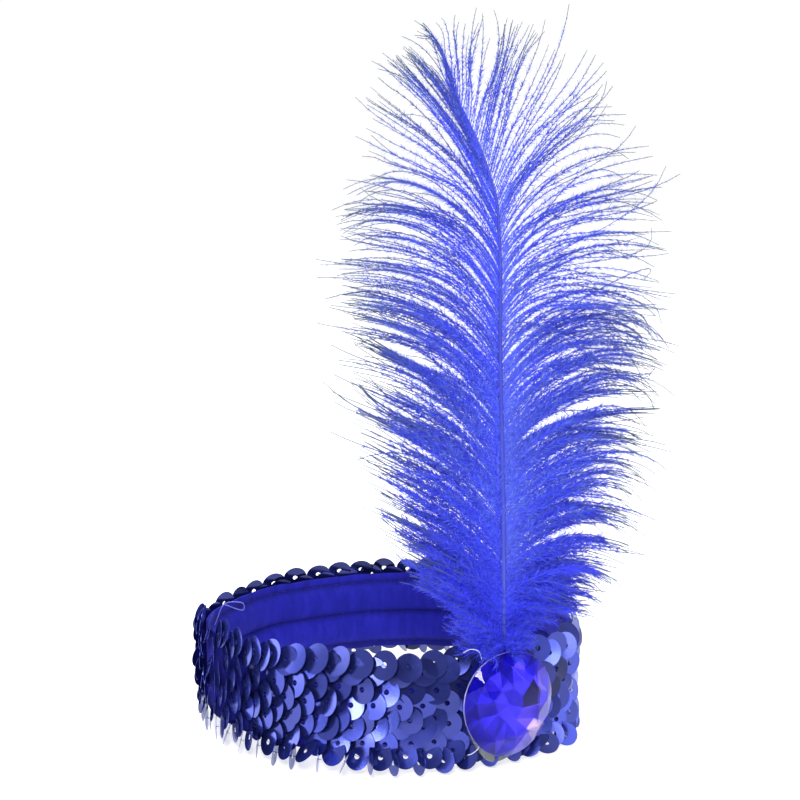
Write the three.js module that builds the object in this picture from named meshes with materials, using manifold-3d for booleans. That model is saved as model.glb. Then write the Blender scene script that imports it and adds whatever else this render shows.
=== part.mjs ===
// Flapper headband: a loop of wide elastic faced with rows of sequins, with an
// ostrich plume and a large faceted stone glued on at the front right.
// Millimetres, +Z up. The loop stands on its lower edge, as it does on a table.
import * as THREE from 'three';
import { mergeVertices } from 'three/addons/utils/BufferGeometryUtils.js';
import Module from 'manifold-3d';

// ---------------------------------------------------------------- sizes (mm)
const GAP = 0.3;              // clearance kept between neighbouring pieces

// Loop, in plan: an ellipse for the elastic's outer face
const LOOP_HALF_LENGTH = 68.5;
const LOOP_HALF_WIDTH = 57.5;
const LOOP_TURN = 10.7;       // degrees, counter-clockwise from above
const LOOP_STEPS = 108;

// Where the soft loop leaves the ellipse
//   angle  : place round the loop, degrees from +X
//   bulge  : outward shift at half height
//   lean   : how much further out the top edge is than the bottom edge
//   spread : degrees to each side
const LOOP_WAVES = [
  { angle: 147, bulge: 2.2, lean: 0.0, spread: 13 },    // kink at the seam
  { angle: -116, bulge: -0.5, lean: -5.0, spread: 13 }, // front left leans in
  { angle: -90, bulge: 0.5, lean: 1.6, spread: 9 },
  { angle: -62, bulge: -1.6, lean: 0.0, spread: 20 },   // flattened behind the stone
  { angle: -30, bulge: 1.0, lean: 0.0, spread: 14 },
  { angle: -176, bulge: 4.5, lean: 0.0, spread: 22 },   // left end pushed out
  { angle: 8, bulge: -7.0, lean: 0.0, spread: 26 },     // right end pressed in
];

// Elastic: flat outside, two padded ribs between three sewn lines inside
const BAND_BOTTOM = 6.7;
const BAND_TOP = 37.7;
const BAND_THIN = 1.2;        // at the sewn lines
const BAND_THICK = 2.8;       // at the crest of a rib
const SEAM_HEIGHTS = [9.5, 22.0, 34.5];

// Sequin facing: three sewn rows, overlapping like scales
const FACING_HEIGHT = 43.0;
const FACING_VALLEY = 2.3;    // outer face between two rows
const FACING_CREST = 3.3;     // outer face at a row's free edges
const SCALE_STEP = 0.6;       // how far every second scale stands proud

// Faceted stone
const GEM_WIDTH = 34.0;
const GEM_HEIGHT = 36.5;
const GEM_NARROWING = 0.07;   // how much the lower end narrows, an egg shape
const GEM_TILT = -4.0;        // degrees, clockwise as seen from the front
const GEM_STATION = -71.4;    // place round the ellipse, degrees
const GEM_CENTRE_HEIGHT = 24.0;
const GEM_BACK = 7.2;         // flat back's distance from the elastic's face
// Rings of facet corners, from the flat back to the crown's top
//   corners : number in the ring     turn : offset in corner steps
//   scale   : part of the outline    level : height above the flat back
const GEM_RINGS = [
  { corners: 24, turn: 0.0, scale: 0.985, level: 0.0 },
  { corners: 24, turn: 0.0, scale: 1.0, level: 2.2 },
  { corners: 12, turn: 0.0, scale: 0.78, level: 5.3 },
  { corners: 6, turn: 0.5, scale: 0.42, level: 7.5 },
];
const GEM_TOP = 8.3;

// Glue under the stone, squeezed out a little at its lower left
const GLUE_START = 0.6;       // inside the facing, before the facing is cut away
const GLUE_SCALE = 0.86;
const GLUE_SHIFT = { along: -1.8, up: -5.0 };

// Plume: it stands in an upright plane turned a little to the right
const PLUME_TURN = 8.0;       // degrees
const QUILL_STATION = -71.0;
const QUILL_OUT = 5.3;        // quill's centre from the elastic's face
const QUILL_FOOT = 15.0;      // lower end, behind the stone
const LEAN_BACK = 5.0;        // how far the tip leans over the loop
const PLUME_BOTTOM = 43.6;    // just above the facing
const PLUME_SIDES = 18;

// Shaft: height, sideways offset from the foot, radius
const SHAFT = [
  { height: QUILL_FOOT, side: 0.0, radius: 0.9 },
  { height: 30.0, side: 0.0, radius: 0.95 },
  { height: 42.0, side: 0.0, radius: 1.0 },
  { height: 60.0, side: -0.4, radius: 0.95 },
  { height: 85.0, side: -0.7, radius: 0.85 },
  { height: 115.0, side: -1.5, radius: 0.75 },
  { height: 145.0, side: -2.2, radius: 0.65 },
  { height: 172.0, side: -2.2, radius: 0.55 },
  { height: 192.0, side: -3.4, radius: 0.48 },
  { height: 207.0, side: -8.4, radius: 0.42 },
  { height: 217.0, side: -13.0, radius: 0.36 },
  { height: 226.0, side: -18.0, radius: 0.3 },
];

// Plume's outer form: reach of the barbs to each side of the foot's plane, and
// half its thickness
const PLUME = [
  { height: PLUME_BOTTOM, left: 9.0, right: 12.0, half: 3.4 },
  { height: 49.0, left: 17.0, right: 22.0, half: 4.8 },
  { height: 56.0, left: 24.0, right: 29.0, half: 6.0 },
  { height: 66.0, left: 31.0, right: 34.0, half: 7.2 },
  { height: 80.0, left: 37.0, right: 39.0, half: 8.2 },
  { height: 98.0, left: 40.0, right: 41.0, half: 8.8 },
  { height: 118.0, left: 45.0, right: 46.0, half: 9.0 },
  { height: 138.0, left: 51.0, right: 49.0, half: 9.0 },
  { height: 158.0, left: 55.0, right: 48.0, half: 8.8 },
  { height: 178.0, left: 57.0, right: 46.0, half: 8.2 },
  { height: 194.0, left: 54.0, right: 42.0, half: 7.4 },
  { height: 208.0, left: 50.0, right: 38.0, half: 6.4 },
  { height: 220.0, left: 46.0, right: 31.0, half: 5.4 },
  { height: 231.0, left: 42.0, right: 22.0, half: 4.2 },
  { height: 240.0, left: 36.0, right: 10.0, half: 2.8 },
  { height: 246.0, left: 31.0, right: -6.0, half: 1.8 },
  { height: 250.0, left: 25.0, right: -19.0, half: 0.8 },
];

// ---------------------------------------------------------------- helpers
const rad = THREE.MathUtils.degToRad;

// Builds a closed, outward-facing geometry from corner points and triangles.
function solid(points, triangles) {
  let volume = 0;
  for (const [a, b, c] of triangles) {
    const p = points[a], q = points[b], r = points[c];
    volume += p.x * (q.y * r.z - q.z * r.y) - p.y * (q.x * r.z - q.z * r.x)
      + p.z * (q.x * r.y - q.y * r.x);
  }
  const geometry = new THREE.BufferGeometry();
  geometry.setAttribute('position',
    new THREE.Float32BufferAttribute(points.flatMap((p) => [p.x, p.y, p.z]), 3));
  geometry.setIndex(triangles.flatMap((t) => (volume < 0 ? [t[0], t[2], t[1]] : t)));
  geometry.computeVertexNormals();
  return geometry;
}

// A closed ring: one closed section (list of points) at each step round a loop.
function ring(sections) {
  const n = sections.length, m = sections[0].length, triangles = [];
  for (let i = 0; i < n; i++) {
    const k = (i + 1) % n;
    for (let j = 0; j < m; j++) {
      const l = (j + 1) % m;
      triangles.push([i * m + j, k * m + j, k * m + l], [i * m + j, k * m + l, i * m + l]);
    }
  }
  return solid(sections.flat(), triangles);
}

// A closed loft through sections, with both ends capped.
function loft(sections) {
  const n = sections.length, m = sections[0].length, triangles = [];
  const points = sections.flat();
  for (let i = 0; i + 1 < n; i++) {
    for (let j = 0; j < m; j++) {
      const l = (j + 1) % m;
      triangles.push([i * m + j, i * m + l, (i + 1) * m + l], [i * m + j, (i + 1) * m + l, (i + 1) * m + j]);
    }
  }
  for (const [at, flip] of [[0, true], [n - 1, false]]) {
    const middle = new THREE.Vector3();
    sections[at].forEach((p) => middle.addScaledVector(p, 1 / m));
    points.push(middle);
    for (let j = 0; j < m; j++) {
      const l = (j + 1) % m, tip = points.length - 1;
      triangles.push(flip ? [tip, at * m + l, at * m + j] : [tip, at * m + j, at * m + l]);
    }
  }
  return solid(points, triangles);
}

// ---------------------------------------------------------------- the loop's wall
function ellipse(angle) {
  const x = LOOP_HALF_LENGTH * Math.cos(angle), y = LOOP_HALF_WIDTH * Math.sin(angle);
  const normal = new THREE.Vector3(x / LOOP_HALF_LENGTH ** 2, y / LOOP_HALF_WIDTH ** 2, 0).normalize();
  const axis = new THREE.Vector3(0, 0, 1);
  return {
    point: new THREE.Vector3(x, y, 0).applyAxisAngle(axis, rad(LOOP_TURN)),
    normal: normal.applyAxisAngle(axis, rad(LOOP_TURN)),
  };
}

// A point of the wall: `out` from the elastic's outer face, at height z.
function wall(angle, out, z) {
  const { point, normal } = ellipse(angle);
  const place = THREE.MathUtils.radToDeg(Math.atan2(point.y, point.x));
  let shift = out;
  for (const wave of LOOP_WAVES) {
    const away = THREE.MathUtils.euclideanModulo(place - wave.angle + 180, 360) - 180;
    const weight = Math.exp(-((away / wave.spread) ** 2));
    shift += weight * (wave.bulge + wave.lean * (z / FACING_HEIGHT - 0.5));
  }
  return new THREE.Vector3(point.x + normal.x * shift, point.y + normal.y * shift, z);
}

function wallRing(profileAt) {
  const sections = [];
  for (let i = 0; i < LOOP_STEPS; i++) {
    const angle = (2 * Math.PI * i) / LOOP_STEPS;
    sections.push(profileAt(i).map(([out, z]) => wall(angle, out, z)));
  }
  return ring(sections);
}

// Elastic: outer face at 0, ribs swelling inwards between the sewn lines
function bandProfile() {
  const profile = [BAND_BOTTOM, ...SEAM_HEIGHTS, BAND_TOP].map((z) => [0, z]);
  profile.push([-BAND_THIN, BAND_TOP]);
  for (let s = SEAM_HEIGHTS.length - 1; s >= 0; s--) {
    profile.push([-BAND_THIN, SEAM_HEIGHTS[s]]);
    if (s === 0) break;
    const span = SEAM_HEIGHTS[s] - SEAM_HEIGHTS[s - 1];
    for (const part of [0.22, 0.5, 0.78]) {
      const swell = Math.sin(Math.PI * part) ** 0.7;
      profile.push([-(BAND_THIN + (BAND_THICK - BAND_THIN) * swell), SEAM_HEIGHTS[s] - span * part]);
    }
  }
  profile.push([-BAND_THIN, BAND_BOTTOM]);
  return profile;
}

// Facing: sections alternate, so that the scales stand in staggered rows
function facingProfile(step, extra = 0) {
  const inner = GAP - extra;
  const rows = SEAM_HEIGHTS.length;
  const profile = [[inner, 0 - extra], [FACING_VALLEY + extra, 0 - extra]];
  for (let r = 0; r < rows; r++) {
    const low = (FACING_HEIGHT * r) / rows, high = (FACING_HEIGHT * (r + 1)) / rows;
    const proud = (step + r) % 2 === 0 ? SCALE_STEP : 0;
    profile.push([FACING_CREST - proud + extra, low + (high - low) * 0.3]);
    profile.push([FACING_CREST - SCALE_STEP + proud + extra, low + (high - low) * 0.72]);
    if (r + 1 < rows) profile.push([FACING_VALLEY + extra, high]);
  }
  profile.push([FACING_VALLEY + extra, FACING_HEIGHT + extra], [inner, FACING_HEIGHT + extra]);
  for (const z of [BAND_TOP, ...[...SEAM_HEIGHTS].reverse(), BAND_BOTTOM]) profile.push([inner, z]);
  return profile;
}

// ---------------------------------------------------------------- the stone
// Its own frame: x along the wall, y up, z outwards from the flat back.
function eggPoint(angle, scale) {
  const y = (GEM_HEIGHT / 2) * Math.sin(angle);
  const narrowing = 1 + GEM_NARROWING * Math.sin(angle);
  return new THREE.Vector2((GEM_WIDTH / 2) * Math.cos(angle) * narrowing * scale, y * scale);
}

function gemGeometry() {
  const points = [], starts = [];
  for (const { corners, turn, scale, level } of GEM_RINGS) {
    starts.push(points.length);
    for (let i = 0; i < corners; i++) {
      const p = eggPoint((2 * Math.PI * (i + turn)) / corners, scale);
      points.push(new THREE.Vector3(p.x, p.y, level));
    }
  }
  const triangles = [];
  // flat back
  points.push(new THREE.Vector3(0, 0, 0));
  const back = points.length - 1;
  const edge = GEM_RINGS[0].corners;
  for (let i = 0; i < edge; i++) triangles.push([back, (i + 1) % edge, i]);
  // rim
  for (let i = 0; i < edge; i++) {
    const k = (i + 1) % edge, low = starts[0], high = starts[1];
    triangles.push([low + i, low + k, high + k], [low + i, high + k, high + i]);
  }
  // crown: each ring has half the corners of the one below it
  const mid = GEM_RINGS[2].corners, top = GEM_RINGS[3].corners;
  for (let i = 0; i < mid; i++) {
    const k = (i + 1) % mid, a = starts[1] + 2 * i, b = a + 1, c = starts[1] + ((2 * i + 2) % edge);
    triangles.push([a, b, starts[2] + i], [b, c, starts[2] + k], [b, starts[2] + k, starts[2] + i]);
  }
  for (let i = 0; i < top; i++) {
    const k = (i + 1) % top, a = starts[2] + 2 * i, b = a + 1, c = starts[2] + ((2 * i + 2) % mid);
    triangles.push([a, b, starts[3] + i], [b, c, starts[3] + i], [c, starts[3] + k, starts[3] + i]);
  }
  points.push(new THREE.Vector3(0, 0, GEM_TOP));
  const tip = points.length - 1;
  for (let i = 0; i < top; i++) triangles.push([tip, starts[3] + i, starts[3] + ((i + 1) % top)]);
  return solid(points, triangles);
}

// Placement of the stone and of the glue under it on the wall
function gemFrame() {
  const angle = rad(GEM_STATION);
  const outward = ellipse(angle).normal;
  const up = new THREE.Vector3(0, 0, 1);
  const along = new THREE.Vector3().crossVectors(up, outward).normalize();
  const origin = wall(angle, GEM_BACK, GEM_CENTRE_HEIGHT);
  const turn = new THREE.Matrix4().makeBasis(along, up, outward).setPosition(origin);
  return turn.multiply(new THREE.Matrix4().makeRotationZ(-rad(GEM_TILT)));
}

// ---------------------------------------------------------------- the feather
function sampleShaft(height) {
  let i = 0;
  while (i + 2 < SHAFT.length && SHAFT[i + 1].height < height) i++;
  const a = SHAFT[i], b = SHAFT[i + 1];
  const part = THREE.MathUtils.clamp((height - a.height) / (b.height - a.height), 0, 1);
  return { side: a.side + (b.side - a.side) * part, radius: a.radius + (b.radius - a.radius) * part };
}

// A point of the plume's upright plane: sideways from the foot, in depth, height
function plumePoint(side, depth, height) {
  const foot = wall(rad(QUILL_STATION), QUILL_OUT, QUILL_FOOT);
  const top = PLUME[PLUME.length - 1].height;
  const rise = Math.max(0, (height - PLUME_BOTTOM) / (top - PLUME_BOTTOM));
  const back = depth + LEAN_BACK * rise * rise;
  const c = Math.cos(rad(PLUME_TURN)), s = Math.sin(rad(PLUME_TURN));
  return new THREE.Vector3(foot.x + side * c - back * s, foot.y + side * s + back * c, height);
}

function shaftGeometry(extra, from) {
  const sides = 10;
  const stations = SHAFT.map((row) => ({ ...row }));
  stations[0].height = from;
  return loft(stations.map(({ height, side, radius }) => {
    const section = [];
    for (let i = 0; i < sides; i++) {
      const a = (2 * Math.PI * i) / sides;
      section.push(plumePoint(side + (radius + extra) * Math.cos(a), (radius + extra) * Math.sin(a), height));
    }
    return section;
  }));
}

function plumeGeometry() {
  return loft(PLUME.map(({ height, left, right, half }) => {
    const middle = (right - left) / 2, reach = (right + left) / 2, section = [];
    for (let i = 0; i < PLUME_SIDES; i++) {
      const a = (2 * Math.PI * i) / PLUME_SIDES;
      section.push(plumePoint(middle + reach * Math.cos(a), half * Math.sin(a), height));
    }
    return section;
  }));
}

// ---------------------------------------------------------------- joins and cuts
const wasm = await Module();
wasm.setup();

function toSolid(geometry) {
  const bare = geometry.clone();
  bare.deleteAttribute('normal');
  bare.deleteAttribute('uv');
  const merged = mergeVertices(bare, 1e-4);
  return new wasm.Manifold(new wasm.Mesh({
    numProp: 3,
    vertProperties: Float32Array.from(merged.attributes.position.array),
    triVerts: Uint32Array.from(merged.index.array),
  }));
}

function fromSolid(manifold) {
  const mesh = manifold.getMesh();
  const geometry = new THREE.BufferGeometry();
  geometry.setAttribute('position', new THREE.Float32BufferAttribute(mesh.vertProperties, 3));
  geometry.setIndex(Array.from(mesh.triVerts));
  geometry.computeVertexNormals();
  return geometry;
}

const frame = gemFrame();

// Plume with an open channel for the shaft
const plume = fromSolid(toSolid(plumeGeometry())
  .subtract(toSolid(shaftGeometry(GAP, QUILL_FOOT - 1))));

// Glue: an egg-shaped pad, cut to the facing's scales and round the quill
function glueGeometry() {
  const outline = new THREE.Shape();
  const count = 28;
  for (let i = 0; i < count; i++) {
    const p = eggPoint((2 * Math.PI * i) / count, GLUE_SCALE);
    const x = p.x + GLUE_SHIFT.along, y = p.y + GLUE_SHIFT.up;
    if (i === 0) outline.moveTo(x, y); else outline.lineTo(x, y);
  }
  const pad = new THREE.ExtrudeGeometry(outline, {
    depth: GEM_BACK - GAP - GLUE_START, bevelEnabled: false, steps: 1,
  });
  pad.translate(0, 0, GLUE_START - GEM_BACK);
  pad.applyMatrix4(frame);
  const facing = wallRing((i) => facingProfile(i, GAP));
  return fromSolid(toSolid(pad)
    .subtract(toSolid(facing))
    .subtract(toSolid(shaftGeometry(GAP, QUILL_FOOT - GAP))));
}

// ---------------------------------------------------------------- assembly
function piece(name, geometry, color, roughness, metalness) {
  const mesh = new THREE.Mesh(geometry, new THREE.MeshStandardMaterial({ color, roughness, metalness }));
  mesh.name = name;
  return mesh;
}

const gem = piece('gem', gemGeometry(), 0x3a2bd8, 0.08, 0.0);
gem.applyMatrix4(frame);

const headband = new THREE.Group();
headband.add(
  piece('elastic_band', wallRing(bandProfile), 0x1f21aa, 0.95, 0.0),
  piece('sequin_facing', wallRing((i) => facingProfile(i)), 0x464bb4, 0.35, 0.5),
  piece('feather_shaft', shaftGeometry(0, QUILL_FOOT), 0x4a54ce, 0.5, 0.0),
  piece('plume', plume, 0x2d2dd7, 0.9, 0.0),
  gem,
  piece('glue_pad', glueGeometry(), 0x9fb0a8, 0.25, 0.0),
);

// The origin is under the middle of the whole, on the surface it stands on.
const part = new THREE.Group();
part.add(headband);
part.updateMatrixWorld(true);
const box = new THREE.Box3().setFromObject(part, true);
headband.position.set(-(box.min.x + box.max.x) / 2, -(box.min.y + box.max.y) / 2, -box.min.z);

export default part;
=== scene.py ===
import math

import bpy
import numpy as np
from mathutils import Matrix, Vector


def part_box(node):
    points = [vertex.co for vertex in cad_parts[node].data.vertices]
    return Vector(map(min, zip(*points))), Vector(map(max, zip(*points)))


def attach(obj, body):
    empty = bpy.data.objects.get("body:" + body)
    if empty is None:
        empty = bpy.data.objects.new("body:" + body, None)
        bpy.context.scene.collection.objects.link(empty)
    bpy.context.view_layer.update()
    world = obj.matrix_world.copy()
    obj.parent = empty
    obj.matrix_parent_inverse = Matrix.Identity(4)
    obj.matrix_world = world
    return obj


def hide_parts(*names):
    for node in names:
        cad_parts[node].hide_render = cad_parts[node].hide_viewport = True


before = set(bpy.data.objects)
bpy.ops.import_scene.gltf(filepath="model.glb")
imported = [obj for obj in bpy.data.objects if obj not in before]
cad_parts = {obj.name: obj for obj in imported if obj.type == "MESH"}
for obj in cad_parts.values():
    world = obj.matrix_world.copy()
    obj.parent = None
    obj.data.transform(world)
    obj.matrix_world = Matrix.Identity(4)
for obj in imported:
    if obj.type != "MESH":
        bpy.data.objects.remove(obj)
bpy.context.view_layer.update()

# ---------------------------------------------------------------- sizes (mm)
# The loop's wall, repeated from the CAD part: an ellipse with a few soft waves.
HALF_LENGTH, HALF_WIDTH, TURN = 68.5, 57.5, math.radians(10.7)
WAVES = ((147, 2.2, 0.0, 13), (-116, -0.5, -5.0, 13), (-90, 0.5, 1.6, 9),
         (-62, -1.6, 0.0, 20), (-30, 1.0, 0.0, 14), (-176, 4.5, 0.0, 22), (8, -7.0, 0.0, 26))
FACING_HEIGHT = 43.0
BAND_BOTTOM, BAND_TOP = 6.7, 37.7
SEAMS = (9.5, 22.0, 34.5)

GEM_WIDTH, GEM_HEIGHT, GEM_NARROWING = 34.0, 36.5, 0.07
GEM_STATION, GEM_TILT = math.radians(-71.4), math.radians(4.0)
GEM_BACK, GEM_CENTRE = 7.2, 24.0

QUILL_STATION, QUILL_OUT, QUILL_FOOT = math.radians(-71.0), 5.3, 15.0
PLUME_TURN, LEAN_BACK, PLUME_BOTTOM, PLUME_TOP = math.radians(8.0), 5.0, 43.6, 250.0
# Shaft: height, sideways offset, radius
SHAFT = np.array([
    (15.0, 0.0, 0.90), (30.0, 0.0, 0.95), (42.0, 0.0, 1.00), (60.0, -0.4, 0.95),
    (85.0, -0.7, 0.85), (115.0, -1.5, 0.75), (145.0, -2.2, 0.65), (172.0, -2.2, 0.55),
    (192.0, -3.4, 0.48), (207.0, -8.4, 0.42), (217.0, -13.0, 0.36), (226.0, -18.0, 0.30)])

UP = np.array((0.0, 0.0, 1.0))


# ---------------------------------------------------------------- helpers
def unit(v):
    return v / np.maximum(np.linalg.norm(v, axis=-1, keepdims=True), 1e-12)


def smooth_step(x, low, high):
    x = np.clip((x - low) / (high - low), 0.0, 1.0)
    return x * x * (3.0 - 2.0 * x)


def wall(t, out, z):
    """A point of the wall, `out` from the elastic's outer face, and the wall's normal."""
    t, out, z = np.broadcast_arrays(np.asarray(t, float), out, z)
    x, y = HALF_LENGTH * np.cos(t), HALF_WIDTH * np.sin(t)
    nx, ny = x / HALF_LENGTH ** 2, y / HALF_WIDTH ** 2
    size = np.hypot(nx, ny)
    c, s = math.cos(TURN), math.sin(TURN)
    x, y = c * x - s * y, s * x + c * y
    nx, ny = (c * nx - s * ny) / size, (s * nx + c * ny) / size
    place = np.degrees(np.arctan2(y, x))
    shift = np.array(out, float)
    for angle, bulge, lean, spread in WAVES:
        away = (place - angle + 180.0) % 360.0 - 180.0
        shift = shift + np.exp(-(away / spread) ** 2) * (bulge + lean * (z / FACING_HEIGHT - 0.5))
    return (np.stack([x + nx * shift, y + ny * shift, z], -1),
            np.stack([nx, ny, np.zeros_like(nx)], -1))


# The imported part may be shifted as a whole, so the shift is read from the elastic's box.
_t = np.linspace(0.0, 2.0 * math.pi, 109)[:-1]
_own = np.concatenate([wall(_t, 0.0, z)[0] for z in (BAND_BOTTOM, *SEAMS, BAND_TOP)])
_low, _high = (np.array(v) * 1000.0 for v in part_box("elastic_band"))
SHIFT = np.round((_low + _high) / 2.0 - (_own.min(0) + _own.max(0)) / 2.0, 3)


def make_piece(name, verts, polys, materials, smooth=True, mats=None, colours=None, rims=None):
    """A mesh object from arrays: points in mm, lists of same-sized faces, point colours.
    rims numbers the points: an edge whose two points have the same number above 0 is sharp."""
    mesh = bpy.data.meshes.new(name)
    co = ((np.asarray(verts, float) + SHIFT) * 0.001).astype(np.float32)
    mesh.vertices.add(len(co))
    mesh.vertices.foreach_set("co", co.ravel())
    index = np.concatenate([np.asarray(p).ravel() for p in polys]).astype(np.int32)
    totals = np.concatenate([np.full(len(p), np.asarray(p).shape[1]) for p in polys])
    mesh.loops.add(len(index))
    mesh.loops.foreach_set("vertex_index", index)
    mesh.polygons.add(len(totals))
    starts = np.concatenate([[0], np.cumsum(totals)[:-1]]).astype(np.int32)
    mesh.polygons.foreach_set("loop_start", starts)
    flags = np.full(len(totals), smooth) if isinstance(smooth, bool) else smooth
    mesh.polygons.foreach_set("use_smooth", flags.astype(bool))
    for material in materials:
        mesh.materials.append(material)
    if mats is not None:
        mesh.polygons.foreach_set("material_index", np.asarray(mats, np.int32))
    if colours is not None:
        layer = mesh.attributes.new("tint", "FLOAT_COLOR", "POINT")
        rgba = np.ones((len(co), 4), np.float32)
        rgba[:, :3] = colours
        layer.data.foreach_set("color", rgba.ravel())
    mesh.update(calc_edges=True)
    mesh.validate()
    if rims is not None:
        ends = np.empty(2 * len(mesh.edges), np.int32)
        mesh.edges.foreach_get("vertices", ends)
        ends = rims[ends.reshape(-1, 2)]
        sharp = mesh.attributes.new("sharp_edge", "BOOLEAN", "EDGE")
        sharp.data.foreach_set("value", (ends[:, 0] == ends[:, 1]) & (ends[:, 0] > 0))
    piece = bpy.data.objects.new(name, mesh)
    bpy.context.scene.collection.objects.link(piece)
    return piece


def tubes(paths, radii, sides, ref, closed=False):
    """Tubes along many paths at once: paths (m, k, 3), radii (m, k). Points and faces."""
    m, k, _ = paths.shape
    if closed:
        tangent = unit(np.roll(paths, -1, 1) - np.roll(paths, 1, 1))
    else:
        tangent = unit(np.gradient(paths, axis=1))
    a = unit(np.cross(tangent, np.broadcast_to(ref, tangent.shape)))
    b = np.cross(tangent, a)
    angle = 2.0 * math.pi * np.arange(sides) / sides
    ring = a[:, :, None, :] * np.cos(angle)[:, None] + b[:, :, None, :] * np.sin(angle)[:, None]
    verts = (paths[:, :, None, :] + radii[:, :, None, None] * ring).reshape(-1, 3)
    base = (np.arange(m)[:, None, None] * k + np.arange(k)[None, :, None]) * sides
    spans = k if closed else k - 1
    i, j = np.arange(spans), np.arange(sides)
    here = base[:, :spans] + j
    ahead = base[:, (i + 1) % k] + j
    quads = np.stack([here, np.roll(here, -1, 2), np.roll(ahead, -1, 2), ahead], -1).reshape(-1, 4)
    if closed:
        return verts, [quads]
    first = (base[:, 0] + j)[:, ::-1]
    last = base[:, k - 1] + j
    return verts, [quads, np.concatenate([first, last])]


def joined(parts):
    """Several (points, faces, colours) sets as one."""
    verts, by_size, colours, start = [], {}, [], 0
    for points, polys, tint in parts:
        for p in polys:
            by_size.setdefault(p.shape[1], []).append(p + start)
        verts.append(points)
        colours.append(np.broadcast_to(tint, points.shape))
        start += len(points)
    return (np.concatenate(verts), [np.concatenate(v) for v in by_size.values()],
            np.concatenate(colours))


# ---------------------------------------------------------------- materials
class Nodes:
    """A short way to write one material's nodes."""

    def __init__(self, name):
        self.material = bpy.data.materials.new(name)
        self.material.use_nodes = True
        self.tree = self.material.node_tree
        self.tree.nodes.clear()
        self.out = self.tree.nodes.new("ShaderNodeOutputMaterial")
        self.shader = self.tree.nodes.new("ShaderNodeBsdfPrincipled")
        self.link(self.shader.outputs[0], self.out.inputs[0])

    def link(self, a, b):
        self.tree.links.new(a, b)

    def set(self, **values):
        for key, value in values.items():
            self.shader.inputs[key.replace("_", " ")].default_value = value
        return self

    def to(self, socket, source):
        self.link(source, self.shader.inputs[socket])
        return self

    def node(self, kind, inputs=None, **settings):
        n = self.tree.nodes.new(kind)
        for key, value in settings.items():
            setattr(n, key, value)
        for key, value in (inputs or {}).items():
            if isinstance(value, bpy.types.NodeSocket):
                self.link(value, n.inputs[key])
            else:
                n.inputs[key].default_value = value
        return n

    def place(self):
        return self.node("ShaderNodeTexCoord").outputs["Object"]

    def noise(self, scale, detail=3.0, rough=0.55, at=None):
        return self.node("ShaderNodeTexNoise", {"Vector": at or self.place(), "Scale": scale,
                                                "Detail": detail, "Roughness": rough}).outputs["Fac"]

    def stretched(self, x, y, z):
        n = self.node("ShaderNodeMapping", {"Vector": self.place()})
        n.inputs["Scale"].default_value = (x, y, z)
        return n.outputs[0]

    def ramp(self, fac, stops):
        n = self.node("ShaderNodeValToRGB", {"Fac": fac})
        r = n.color_ramp
        while len(r.elements) < len(stops):
            r.elements.new(0.5)
        for e, (at, colour) in zip(r.elements, stops):
            e.position = at
            e.color = (*colour, 1.0)
        return n.outputs["Color"]

    def range(self, fac, low, high, start=0.0, end=1.0):
        return self.node("ShaderNodeMapRange", {"Value": fac, "From Min": start, "From Max": end,
                                                "To Min": low, "To Max": high}).outputs["Result"]

    def mixed(self, fac, a, b, blend="MIX"):
        n = self.node("ShaderNodeMix", data_type="RGBA", blend_type=blend)
        for socket, value in ((n.inputs["Factor"], fac), (n.inputs[6], a), (n.inputs[7], b)):
            if isinstance(value, bpy.types.NodeSocket):
                self.link(value, socket)
            elif isinstance(value, tuple):
                socket.default_value = (*value, 1.0)
            else:
                socket.default_value = value
        return n.outputs[2]

    def tint(self):
        return self.node("ShaderNodeAttribute", attribute_name="tint").outputs["Color"]

    def bump(self, height, strength, distance):
        n = self.node("ShaderNodeBump", {"Height": height})
        n.inputs["Strength"].default_value = strength
        n.inputs["Distance"].default_value = distance
        self.link(n.outputs[0], self.shader.inputs["Normal"])
        return self


def sequin_material():
    n = Nodes("sequin_film")
    grain = n.noise(4200.0, 2.0, 0.6)
    cloud = n.noise(160.0, 3.0)
    colour = n.mixed(n.range(grain, 0.0, 0.55, 0.35, 0.75), n.tint(), (1.25, 1.25, 1.15), "MULTIPLY")
    n.to("Base Color", colour)
    n.to("Roughness", n.range(cloud, 0.15, 0.24, 0.3, 0.7))
    n.set(Metallic=0.8, Specular_Tint=(0.70, 0.76, 0.95, 1.0), Coat_Weight=0.35, Coat_Roughness=0.14, Coat_IOR=1.5)
    n.bump(grain, 0.12, 0.00008)
    return n.material


def velvet_material():
    n = Nodes("velvet_elastic")
    pile = n.noise(2600.0, 3.0, 0.7)
    streak = n.noise(1.0, 4.0, 0.6, n.stretched(330.0, 330.0, 70.0))
    nap = n.ramp(streak, ((0.30, (0.008, 0.009, 0.27)), (0.55, (0.012, 0.013, 0.34)), (0.78, (0.018, 0.019, 0.42))))
    colour = n.mixed(1.0, nap, n.tint(), "MULTIPLY")
    n.to("Base Color", n.mixed(n.range(pile, 0.0, 0.5, 0.4, 0.8), colour, (0.7, 0.7, 0.8), "MULTIPLY"))
    n.set(Roughness=0.9, Sheen_Weight=0.35, Sheen_Roughness=0.4, Sheen_Tint=(0.12, 0.13, 0.9, 1.0),
          Specular_IOR_Level=0.2)
    n.bump(pile, 0.5, 0.0003)
    return n.material


def thread_material(name, dark, light, rough, clear=0.0):
    n = Nodes(name)
    twist = n.noise(3000.0, 2.0)
    n.to("Base Color", n.ramp(twist, ((0.35, dark), (0.65, light))))
    n.set(Roughness=rough, Transmission_Weight=clear, IOR=1.45)
    n.bump(twist, 0.4, 0.00005)
    return n.material


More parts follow.
